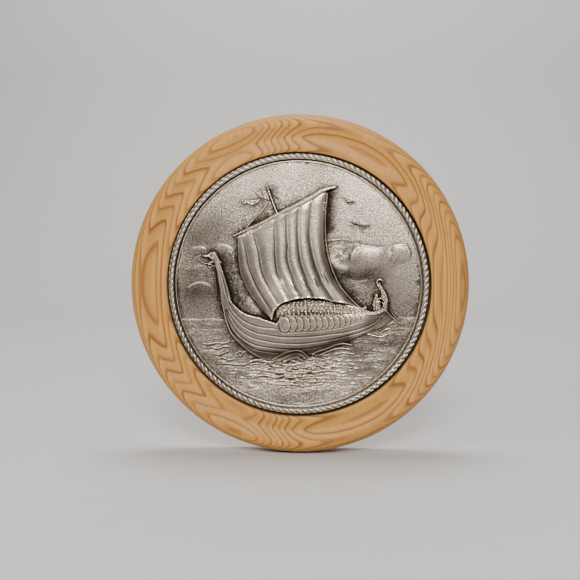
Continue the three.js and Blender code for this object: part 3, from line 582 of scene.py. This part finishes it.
def painting():
    """Patina in the hollows and places worn bright, with painted shadows beside the forms, painted shade on
    their lower and turned-away sides and painted highlights where light catches them.
    """
    # the sky brighter towards the top right and darker low on the left; the foot of the sea painted bright as
    # if turned to the light; the ship rubbed bright, the hull darker, with random mottling
    WEAR_AND_PAINTED_LIGHT[:] += 0.5 * ease(Z + 0.3 * X, 12, 56) - 0.2 * ease(-Z - 0.15 * X, -22, 8) * ease(Z, -26, -16)
    WEAR_AND_PAINTED_LIGHT[:] += 0.35 * ease(-Z, 50, 70) + 0.08 * cloudy(12, 21) + 0.225 * SHIP
    WEAR_AND_PAINTED_LIGHT[:] -= np.where(inside(HULL, X, Z), 0.32, 0.12)
    for points, width, amount in [
        # painted shadows on the sky right of the sail, the yard's end and the mast's top, darker above the
        # yard's left part and along the sail's left edge, and a wedge by the luff worn bright
        ([(20.4, 57), (19.6, 46), (19.6, 34)], 2.6, -1.45),
        ([(24, 59.4), (25.6, 57.6)], 1.2, -0.5),
        ([(22.5, 7), (26, 2), (30, -3), (34, -7)], 3, -0.55),
        ([(-28, 38.2), (-20, 42)], 2, -0.55),
        ([(-16.6, 58.6), (-15.2, 53)], 1.3, -0.5),
        ([(-36, 20), (-34, 8), (-28, -4), (-20, -16)], 3.4, -0.45),
        ([(-30.2, -9), (-28, -12.4), (-25, -16.2)], 1.1, 1.5),
        # painted shade on the sky either side of the neck and the stem
        ([(-45.4, 19), (-43.8, 8), (-42, -2), (-37.4, -10)], 2.2, -0.5),
        ([(-50.6, 8), (-49.9, -5), (-48.6, -19)], 1.1, -0.55),
        # the open sky
        ([(50, 48), (40, 58)], 12, 0.2),
        ([(-64, 28), (-54, 38)], 8, -0.3),
        ([(-64, 14), (-62, 2), (-64, -12)], 7, -0.08),
        ([(-67, -7), (-58, -8)], 6, -0.12),
        ([(60, 4), (66, -6)], 7, 0.2),
        # the gulls
        ([(29, 52.6), (31, 50.2), (34.4, 50.6)], 0.8, -1.0),
        ([(33, 38), (39, 36), (44, 36)], 1.1, -1.0),
        # the clouds on the left: upper edges burnished and painted as lit, with painted shade under the
        # lowest
        ([(-65.5, 22.4), (-58, 22.6)], 0.9, 0.7),
        ([(-49, 24.4), (-44.6, 24.2), (-41, 22.6)], 0.9, 0.7),
        ([(-67.5, -1), (-63, 0.9), (-58.6, 0.9), (-55, -1)], 0.8, 0.7),
        ([(-66, -6), (-61, -5), (-56, -6)], 3.5, -0.2),
        # the clouds on the right: a spot burnished bright beside the sail, painted light along their tops,
        # dark lines along their edges and swirl, painted shade on their undersides, and painted highlights on
        # the arcs below
        ([(20.8, 15.6), (23, 13.4), (26, 11.6), (29, 10.6)], 1.6, 1.4),
        ([(24, 24), (34, 25), (46, 21), (60, 22)], 3.5, 0.25),
        ([(18, 26), (26, 26.8), (34, 26)], 0.7, -0.6),
        ([(38, 26.4), (34, 25.4)], 0.7, -0.5),
        ([(40, 23.8), (50, 22.8), (57, 20.6), (58.6, 22.6)], 0.9, -0.4),
        ([(31.6, 16), (31.8, 19.4), (34.4, 23.4)], 0.7, -0.6),
        ([(35, 17), (35.6, 19.6), (37.6, 21.8)], 0.5, -0.5),
        ([(31, 6), (37, 3.4), (43, 5)], 2.6, -0.4),
        ([(28, 5.4), (38, 6.6), (48, 8.6)], 3.2, -0.35),
        ([(32, 3), (36, 1.4), (42.6, 2.6)], 0.6, 0.9),
        ([(36, -1.6), (39, -2.2), (42, -1.4)], 0.5, 0.6),
        # painted shade along the mast's left side; the pennant painted lit along its upper edges and shaded
        # under its folds
        ([(-19.6, 60), (-14, 46)], 0.5, -0.5),
        ([(-34, 51.4), (-29, 50.6), (-24, 52)], 0.9, 0.4),
        ([(-35, 48.8), (-29, 47.8), (-22, 50)], 1.2, -0.4),
        ([(-25.4, 56), (-19, 54.4)], 1.3, 0.5),
        # the sail: brighter high up, painted highlights on the folds near its foot, and a painted shadow
        # under the foot
        ([(-12, 36), (2, 38), (10, 42)], 9, 0.3),
        ([(-14, -3), (-4, -1), (8, -2), (22, -5)], 7, 0.65),
        ([(-9, -2), (-7.4, -8.4)], 1.0, 0.45),
        ([(-3, 1), (-1.4, -5.6)], 1.0, 0.5),
        ([(3.2, 1), (5.8, -5.6)], 1.0, 0.5),
        ([(9, 2), (13, -5.6)], 1.0, 0.5),
        ([(15.5, 3), (20.6, -7)], 1.0, 0.45),
        ([(-8, -12.4), (0, -9.9), (10, -9.4), (20, -10.6), (30, -12.6)], 0.7, -0.5),
        # the crew, the shields and the helmsman
        ([(-10, -15.6), (0, -14.4), (12, -14.6), (26, -16), (40, -17.6)], 3.4, 0.85),
        ([(-6, -24), (10, -23.6), (26, -22.4), (38, -20.6)], 3.6, 0.6),
        ([(49.4, -7), (50, -13.6)], 2.2, 0.4),
        # the hull, dark towards the water
        ([(-46, -26), (-42, -34)], 3, -0.25),
        ([(-36, -37), (-26, -43), (-10, -42.5), (10, -40.5), (30, -34)], 3.4, -0.8),
        ([(43, -25.4), (54, -19)], 3.4, -0.55),
        # the sea
        ([(-24, -52), (-8, -54), (12, -53), (26, -52)], 7, 0.35),
        ([(38, -40), (52, -36), (64, -32)], 7, -0.25),
        ([(44, -31), (51, -31.8), (56, -29), (59, -25)], 0.9, 0.5),
    ]:
        patina_and_light(points, width, amount)


for carve in (sky, clouds, gulls, sea):
    carve()
GROUND = H.copy()
for carve in (hull, crew, shields, wash, prow, stern, sail, rigging, pennant):
    carve()
H = np.maximum(blur(H, 0.5), -0.3)
SHIP = ease(blur(H - GROUND, 1.5), 0.3, 0.9)  # one on the ship, its sail and the wash, zero elsewhere
# the stipple of the sky, weaker on the ship, the sea and some parts of the sky
GRAIN = 1 - 0.68 * SHIP - 0.3 * ease(-Z, 18, 24) * (1 - ease(-Z, 56, 64))
for amount, *place in [
    (0.45, 44, 12, 24, 15), (0.4, -62, -8, 16, 14), (0.4, -56, 30, 14, 14), (0.4, 20, 44, 5, 18),
    (0.4, 58, -4, 14, 12),
]:
    GRAIN -= amount * np.exp(-oval(*place) ** 2)
GRAIN = np.maximum(GRAIN, 0.2)
painting()


# ---- meshes ----
def height_tones(field, steps_per_mm, wrap=False):
    """How far each point stands above its near and its wider neighbourhood."""
    fine = field - blur(field, 0.7 * steps_per_mm, wrap)
    broad = field - blur(field, 3.6 * steps_per_mm, wrap)
    return fine, broad


TONES = ("fine", "broad", "wear_and_painted_light", "grain")  # vertex attributes that the pewter's tone follows


def make(name, vertices, faces, tones=None):
    mesh = bpy.data.meshes.new(name)
    mesh.from_pydata([tuple(v) for v in vertices], [], faces)
    if tones is not None:
        for label, values in zip(TONES, tones):
            mesh.attributes.new(label, "FLOAT", "POINT").data.foreach_set("value", values)
    mesh.update()
    obj = bpy.data.objects.new(name, mesh)
    bpy.context.scene.collection.objects.link(obj)
    return obj


def to_metres(x, height, z):
    """Where a point of the casting lies, from its height over the open sky."""
    return np.stack([(x + SEAT_X) * MM, -(SKY + height) * MM, (z + SEAT_Z) * MM], axis=-1)


def picture_mesh():
    """The height field as a closed plate."""
    keep = R <= PICTURE_RADIUS
    whole = keep[:-1, :-1] & keep[1:, :-1] & keep[:-1, 1:] & keep[1:, 1:]
    used = np.zeros_like(keep)
    for a, b in ((0, 0), (1, 0), (0, 1), (1, 1)):
        used[a:a + whole.shape[0], b:b + whole.shape[1]] |= whole
    index = np.full(keep.shape, -1)
    index[used] = np.arange(used.sum())
    corners = [index[:-1, :-1][whole], index[:-1, 1:][whole], index[1:, 1:][whole], index[1:, :-1][whole]]
    faces = np.stack(corners, axis=1)
    fine, broad = height_tones(H, 1 / STEP)
    # wave crests and the heads of the crew are rubbed bright, and the sea's hollows hold less patina
    waves = ease(-Z, 17, 24) * (1 - SHIP)
    heads = np.exp(-oval(16, -15.5, 26, 3.2) ** 2)
    fine = fine * (1 + np.where(fine > 0, 0.9 * waves + 1.3 * heads, 0.4 * heads - 0.35 * waves))
    points = to_metres(X[used], H[used], Z[used])
    obj = make("picture", points, faces.tolist(), [part[used] for part in (fine, broad, WEAR_AND_PAINTED_LIGHT, GRAIN)])
    work = bmesh.new()
    work.from_mesh(obj.data)
    rim = [e for e in work.edges if e.is_boundary]
    wall = bmesh.ops.extrude_edge_only(work, edges=rim)["geom"]
    lower = [v for v in wall if isinstance(v, bmesh.types.BMVert)]
    for v in lower:
        v.co.y = -(SKY - PICTURE_THICKNESS) * MM
    bmesh.ops.holes_fill(work, edges=[e for e in work.edges if e.is_boundary], sides=0)
    bmesh.ops.recalc_face_normals(work, faces=work.faces)
    work.to_mesh(obj.data)
    work.free()
    shrink = obj.modifiers.new("thin", "DECIMATE")
    shrink.ratio = KEPT_SHARE
    return obj


def ring_faces(turns, n):
    """The faces of a closed ring of sections with n points each."""
    starts = [(i * n, (i + 1) % turns * n) for i in range(turns)]
    return [(a + j, a + j + 1, b + j + 1, b + j) for a, b in starts for j in range(n - 1)]


def rim_mesh():
    """The bead, the groove and the rope, with the disc's edge and back."""
    turns = 8 * STRANDS
    angle = np.arange(turns) * 2 * math.pi / turns
    over_bead = BEAD_RADIUS + BEAD_HALF * np.cos(np.radians(np.linspace(180, 0, 7)))
    radii = np.concatenate([[74.5, 74.9], over_bead, [76.5, 76.75], np.linspace(76.95, 80.2, 17)])
    field = np.zeros((turns, len(radii)))
    for j, r in enumerate(radii):
        bead = BEAD_HEIGHT * max(0, 1 - ((r - BEAD_RADIUS) / BEAD_HALF) ** 2) ** 0.5
        groove = -0.3 * ease(r, 76.2, 76.5) * (1 - ease(r, 76.8, 77.2)) + 0.5 * ease(r, 79.8, 80.1)
        swell = max(0, 1 - ((r - ROPE_CENTRE) / ROPE_HALF) ** 2) ** 0.4
        phase = STRANDS * angle / (2 * math.pi) - 0.84 * (r - ROPE_CENTRE) / 3.2
        strand = np.abs(np.sin(math.pi * phase)) ** 0.6
        field[:, j] = 0.35 + bead + groove + swell * (ROPE_HEIGHT - 1.1 + 0.75 * strand)
    field[:, 0], field[:, 1] = -0.9, -0.2  # the inner edge dips under the picture
    fine, broad = height_tones(field, 2.6, True)
    hollow = (radii > 76.3) & (radii < 77.2)  # the groove, with painted shade darkest at the upper left
    # painted light on the rim: shade in the groove by its side to the light, and the rope painted brighter at
    # its top and bottom
    wear_and_painted_light = np.where(hollow, -0.05 - 0.5 * np.sin(angle - 0.7)[:, None],
                    0.1 + 0.15 * np.abs(np.sin(angle))[:, None])
    grain = np.full_like(field, 0.4)
    radii = np.concatenate([radii, [DISC_RADIUS, DISC_RADIUS, DISC_RADIUS - 0.4]])
    outer = np.repeat([[0.6, DISC_BACK - SKY + 0.4, DISC_BACK - SKY]], turns, axis=0)
    levels = np.hstack([field, outer])
    tones = [np.hstack([part, np.zeros((turns, 3))]).ravel() for part in (fine, broad, wear_and_painted_light, grain)]
    c, s = np.cos(angle)[:, None], np.sin(angle)[:, None]
    points = to_metres(radii * c, levels, radii * s).reshape(-1, 3)
    n = len(radii)
    faces = ring_faces(turns, n)
    faces.append([i * n for i in range(turns)][::-1])
    faces.append([i * n + n - 1 for i in range(turns)])
    return make("rim", points, faces, tones)


def face_out(obj):
    """Merges points that coincide and turns every face outwards."""
    work = bmesh.new()
    work.from_mesh(obj.data)
    bmesh.ops.remove_doubles(work, verts=work.verts, dist=1e-7)
    bmesh.ops.recalc_face_normals(work, faces=work.faces)
    work.to_mesh(obj.data)
    work.free()


def settle(obj):
    """The object with its modifiers applied."""
    depsgraph = bpy.context.evaluated_depsgraph_get()
    mesh = bpy.data.meshes.new_from_object(obj.evaluated_get(depsgraph))
    obj.modifiers.clear()
    obj.data = mesh
    return obj


def join(name, *objs):
    with bpy.context.temp_override(active_object=objs[0], selected_editable_objects=list(objs)):
        bpy.ops.object.join()
    objs[0].name = objs[0].data.name = name
    return objs[0]


def frame_mesh():
    """The turned ring: its profile run round the axis, with the nail hole drilled into its back."""
    profile = [(0, 0)]

    def arc(cx, cy, rx, ry, start, end, steps):
        for degrees in np.linspace(start, end, steps + 1):
            a = math.radians(degrees)
            profile.append((cx + rx * math.cos(a), cy + ry * math.sin(a)))

    roll = 6.7
    crown = FRAME_RADIUS - roll
    arc(FRAME_RADIUS - 2.8, 2.5, 2.5, 2.5, -90, 0, 6)
    arc(crown, FRAME_DEPTH / 2, roll, FRAME_DEPTH / 2, 0, 90, 22)
    # from the crown down through the valley to the lip of the recess
    profile += map(tuple, smooth_path([
        (crown - 1.5, 23.9), (95.4, 23.1), (92.8, 21.7), (90.2, 20.65), (87.6, 21.1), (85.2, 21.75),
        (83.4, 21.95), (82.2, 21.6), (RECESS_RADIUS, 20.8),
    ], 0.7))
    profile += [(RECESS_RADIUS, RECESS_FLOOR), (0, RECESS_FLOOR)]
    turns = 288
    points = []
    for k in range(turns):
        a = 2 * math.pi * k / turns
        points += [(r * math.cos(a) * MM, -h * MM, r * math.sin(a) * MM) for r, h in profile]
    obj = make("pine_ring", points, ring_faces(turns, len(profile)))
    face_out(obj)
    bpy.ops.mesh.primitive_cylinder_add(vertices=48, radius=HOLE_RADIUS * MM, depth=2 * HOLE_DEPTH * MM,
                                        location=(0, 0, HOLE_AT * MM), rotation=(math.pi / 2, 0, 0))
    drill = bpy.context.object
    cut = obj.modifiers.new("hole", "BOOLEAN")
    cut.operation, cut.object, cut.solver = "DIFFERENCE", drill, "EXACT"
    settle(obj)
    bpy.data.objects.remove(drill)
    return obj


# ---- materials ----
class Nodes:
    """Short names for building a material's nodes."""

    def __init__(self, name):
        self.material = bpy.data.materials.new(name)
        self.material.use_nodes = True
        self.tree = self.material.node_tree
        self.shader = self.tree.nodes["Principled BSDF"]
        self.place = self.add("ShaderNodeTexCoord").outputs["Object"]

    def add(self, kind, **values):
        node = self.tree.nodes.new(kind)
        for key, value in values.items():
            setattr(node, key, value)
        return node

    def link(self, source, socket):
        self.tree.links.new(source, socket)

    def fill(self, socket, value):
        if isinstance(value, bpy.types.NodeSocket):
            self.link(value, socket)
        else:
            socket.default_value = value

    def math(self, operation, *values):
        node = self.add("ShaderNodeMath", operation=operation)
        for socket, value in zip(node.inputs, values):
            self.fill(socket, value)
        return node.outputs[0]

    def noise(self, scale, detail=2.0, roughness=0.5, vector=None):
        node = self.add("ShaderNodeTexNoise")
        self.link(vector or self.place, node.inputs["Vector"])
        for key, value in (("Scale", scale), ("Detail", detail), ("Roughness", roughness)):
            node.inputs[key].default_value = value
        return node.outputs["Fac"]

    def stretched(self, x, y, z):
        node = self.add("ShaderNodeMapping")
        self.link(self.place, node.inputs["Vector"])
        node.inputs["Scale"].default_value = (x, y, z)
        return node.outputs["Vector"]

    def ramp(self, value, stops, interpolation="LINEAR"):
        """A colour ramp; a stop given as one number is a grey."""
        node = self.add("ShaderNodeValToRGB")
        self.link(value, node.inputs["Fac"])
        node.color_ramp.interpolation = interpolation
        points = node.color_ramp.elements
        while len(points) < len(stops):
            points.new(0.5)
        for point, (position, colour) in zip(points, stops):
            point.position = position
            point.color = (*colour, 1) if isinstance(colour, tuple) else (colour, colour, colour, 1)
        return node.outputs["Color"]

    def spread(self, value, low, high, to_low=0.0, to_high=1.0):
        node = self.add("ShaderNodeMapRange")
        self.fill(node.inputs["Value"], value)
        for key, number in (("From Min", low), ("From Max", high), ("To Min", to_low), ("To Max", to_high)):
            self.fill(node.inputs[key], number)
        return node.outputs["Result"]

    def mix(self, factor, a, b):
        node = self.add("ShaderNodeMix", data_type="RGBA")
        self.fill(node.inputs[0], factor)
        self.fill(node.inputs[6], a if isinstance(a, bpy.types.NodeSocket) else (*a, 1))
        self.fill(node.inputs[7], b if isinstance(b, bpy.types.NodeSocket) else (*b, 1))
        return node.outputs[2]

    def bump(self, height, distance, strength=1.0):
        node = self.add("ShaderNodeBump")
        self.link(height, node.inputs["Height"])
        node.inputs["Distance"].default_value = distance
        node.inputs["Strength"].default_value = strength
        self.link(node.outputs["Normal"], self.shader.inputs["Normal"])


def pewter():
    """Bright on what stands proud, is worn or carries a painted highlight, dark in the hollows and under
    painted shade, with the casting's stipple.
    """
    g = Nodes("pewter")
    fine, broad, wear_and_painted_light, grain = (
        g.add("ShaderNodeAttribute", attribute_name=name).outputs["Fac"] for name in TONES)
    grit = g.math("SUBTRACT", g.noise(1100, 2, 0.65), 0.5)
    mottle = g.math("SUBTRACT", g.noise(240, 3, 0.6), 0.5)
    level = g.math("ADD", g.math("MULTIPLY", fine, 0.7), g.math("MULTIPLY", broad, 0.13))
    level = g.math("ADD", level, g.math("MULTIPLY", wear_and_painted_light, 0.6))
    level = g.math("ADD", level, g.math("MULTIPLY", g.math("MULTIPLY", grit, grain), 2.1))
    level = g.math("ADD", level, g.math("MULTIPLY", mottle, 0.22))
    tone = g.spread(level, -0.7, 0.7)
    colour = g.ramp(tone, [
        (0.0, (0.022, 0.017, 0.012)), (0.25, (0.09, 0.075, 0.059)), (0.5, (0.24, 0.203, 0.163)),
        (0.75, (0.55, 0.466, 0.362)), (1.0, (1.0, 0.87, 0.69)),
    ])
    g.link(colour, g.shader.inputs["Base Color"])
    g.shader.inputs["Metallic"].default_value = 1.0
    rough = g.math("ADD", g.spread(tone, 0, 1, 0.5, 0.2), g.math("MULTIPLY", grain, 0.08))
    g.link(rough, g.shader.inputs["Roughness"])
    relief = g.math("ADD", g.math("MULTIPLY", grit, grain), g.math("MULTIPLY", mottle, 0.4))
    g.bump(relief, 0.0004, 0.8)
    return g.material


def pine():
    """Lacquered pine, flat sawn, with painted shade in its recess."""
    g = Nodes("pine")
    axes = g.add("ShaderNodeSeparateXYZ")
    g.link(g.place, axes.inputs[0])
    x, y, z = axes.outputs
    # growth rings: sheets that lie flat in the board and rise and fall from side to side
    roll = g.ramp(g.spread(x, -0.105, 0.105), [
        (0.0, 0.02), (0.1, 0.34), (0.18, 0.56), (0.28, 0.74), (0.38, 0.72), (0.47, 0.24), (0.55, 0.17),
        (0.73, 0.08), (0.84, 0.22), (0.92, 0.54), (1.0, 1),
    ], "B_SPLINE")
    low = g.noise(9, 2, 0.5, g.stretched(1, 1, 0.6))
    depth = g.math("ADD", g.math("MULTIPLY", y, -1000), g.math("MULTIPLY", roll, 25))
    depth = g.math("ADD", depth, g.math("MULTIPLY", g.math("SUBTRACT", low, 0.5), 2.6))
    wobble = g.noise(60, 2, 0.5, g.stretched(1, 1, 0.35))
    depth = g.math("ADD", depth, g.math("MULTIPLY", g.math("SUBTRACT", wobble, 0.5), 0.8))
    count = g.math("DIVIDE", depth, 1.85)
    phase = g.math("FRACT", count)
    # each ring pales after the late wood's dark line, and the lines are not equally dark
    late = g.ramp(phase, [(0.0, 0.3), (0.1, 0), (0.5, 0.08), (0.7, 0.45), (0.82, 1), (0.93, 1), (1.0, 0.3)])
    odd = g.add("ShaderNodeTexWhiteNoise", noise_dimensions="1D")
    g.link(g.math("FLOOR", count), odd.inputs["W"])
    late = g.math("MULTIPLY", late, g.spread(odd.outputs["Value"], 0, 1, 0.55, 1.0))
    fibre = g.noise(900, 3, 0.6, g.stretched(1, 1, 0.03))
    patch = g.noise(26, 2, 0.5, g.stretched(1, 1, 0.3))
    base = g.mix(patch, (0.65, 0.33, 0.078), (0.56, 0.268, 0.057))
    colour = g.mix(g.math("MULTIPLY", late, 0.95), base, (0.22, 0.078, 0.011))
    colour = g.mix(g.spread(fibre, 0.35, 0.75, 0, 0.35), colour, (0.3, 0.11, 0.018))
    # the wall and floor of the recess are painted dark as the shade in the gap
    out = g.math("SQRT", g.math("ADD", g.math("MULTIPLY", x, x), g.math("MULTIPLY", z, z)))
    front = g.math("LESS_THAN", y, -0.0135)
    painted_recess_shade = g.math("MULTIPLY", front, g.spread(out, 0.08175, 0.0811))
    colour = g.mix(painted_recess_shade, colour, (0.012, 0.008, 0.005))
    g.link(colour, g.shader.inputs["Base Color"])
    g.link(g.spread(fibre, 0.3, 0.7, 0.46, 0.58), g.shader.inputs["Roughness"])
    g.shader.inputs["Specular IOR Level"].default_value = 0.3
    g.bump(g.math("ADD", g.math("MULTIPLY", late, 0.4), fibre), 0.00008, 0.5)
    return g.material


def plain(name, colour, roughness):
    g = Nodes(name)
    speckle = g.noise(40, 2, 0.5)
    g.link(g.mix(speckle, colour, tuple(c * 0.97 for c in colour)), g.shader.inputs["Base Color"])
    g.shader.inputs["Roughness"].default_value = roughness
    return g.material


# ---- the two pieces ----
def finish_piece(obj, name, material, node, sharp):
    """Names and dresses a piece; edges turned by more than sharp degrees stay crisp."""
    obj.name = obj.data.name = name
    obj.data.materials.clear()
    obj.data.materials.append(material)
    obj.data.shade_smooth()
    if sharp:
        obj.data.set_sharp_from_angle(angle=math.radians(sharp))
    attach(obj, "root")
    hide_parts(node)


picture = settle(picture_mesh())
rim = rim_mesh()
face_out(rim)
relief = join("relief", picture, rim)
finish_piece(relief, "relief", pewter(), "pewter_relief", 0)
ring = frame_mesh()
finish_piece(ring, "turned_frame", pine(), "pine_frame", 40)


# ---- stage: floor with a sweep, light and camera ----
def sweep():
    """A floor that curves up into a backdrop."""
    profile = [(-1.6, 0.0), (0.9, 0.0)]
    for degrees in range(10, 91, 10):
        a = math.radians(degrees)
        profile.append((0.9 + 0.5 * math.sin(a), 0.5 - 0.5 * math.cos(a)))
    profile.append((1.4, 2.2))
    points = [(x, y, z - 0.1056) for y, z in profile for x in (-2.2, 2.2)]
    faces = [(2 * k, 2 * k + 1, 2 * k + 3, 2 * k + 2) for k in range(len(profile) - 1)]
    obj = make("floor", points, faces)
    obj.data.materials.append(plain("floor", (0.62, 0.6, 0.58), 0.7))
    obj.data.shade_smooth()


def lamp(name, place, aim, size, watts):
    light = bpy.data.lights.new(name, "AREA")
    light.size, light.energy = size, watts
    obj = bpy.data.objects.new(name, light)
    bpy.context.scene.collection.objects.link(obj)
    obj.location = place
    way = np.array(aim) - np.array(place)
    tilt = math.atan2(math.hypot(way[0], way[1]), -way[2])
    obj.rotation_euler = (tilt, 0, math.atan2(way[1], way[0]) - math.pi / 2)


def world():
    surround = bpy.data.worlds.new("studio")
    surround.use_nodes = True
    background = surround.node_tree.nodes["Background"]
    background.inputs["Color"].default_value = (0.86, 0.85, 0.84, 1)
    background.inputs["Strength"].default_value = 0.09
    bpy.context.scene.world = surround


def camera():
    """Nearly square on, a little from above and from the right."""
    lens = bpy.data.cameras.new("camera")
    lens.sensor_width = 36
    lens.lens = 54.8
    eye = bpy.data.objects.new("camera", lens)
    bpy.context.scene.collection.objects.link(eye)
    elevation, turn, distance = math.radians(3), math.radians(2.5), 0.563
    level = distance * math.cos(elevation)
    eye.location = (level * math.sin(turn), -level * math.cos(turn), distance * math.sin(elevation))
    eye.rotation_euler = (math.pi / 2 - elevation, 0, turn)
    lens.shift_x, lens.shift_y = LENS_SHIFT
    bpy.context.scene.camera = eye


sweep()
lamp("key", (0.05, -1.15, 0.6), (0, 0, 0), 0.4, 17)
lamp("side", (-0.9, -0.75, 0.5), (0, 0, 0), 0.2, 4)
lamp("backdrop", (0, 0.35, 1.7), (0, 1.5, 0.3), 1.0, 36)
world()
camera()
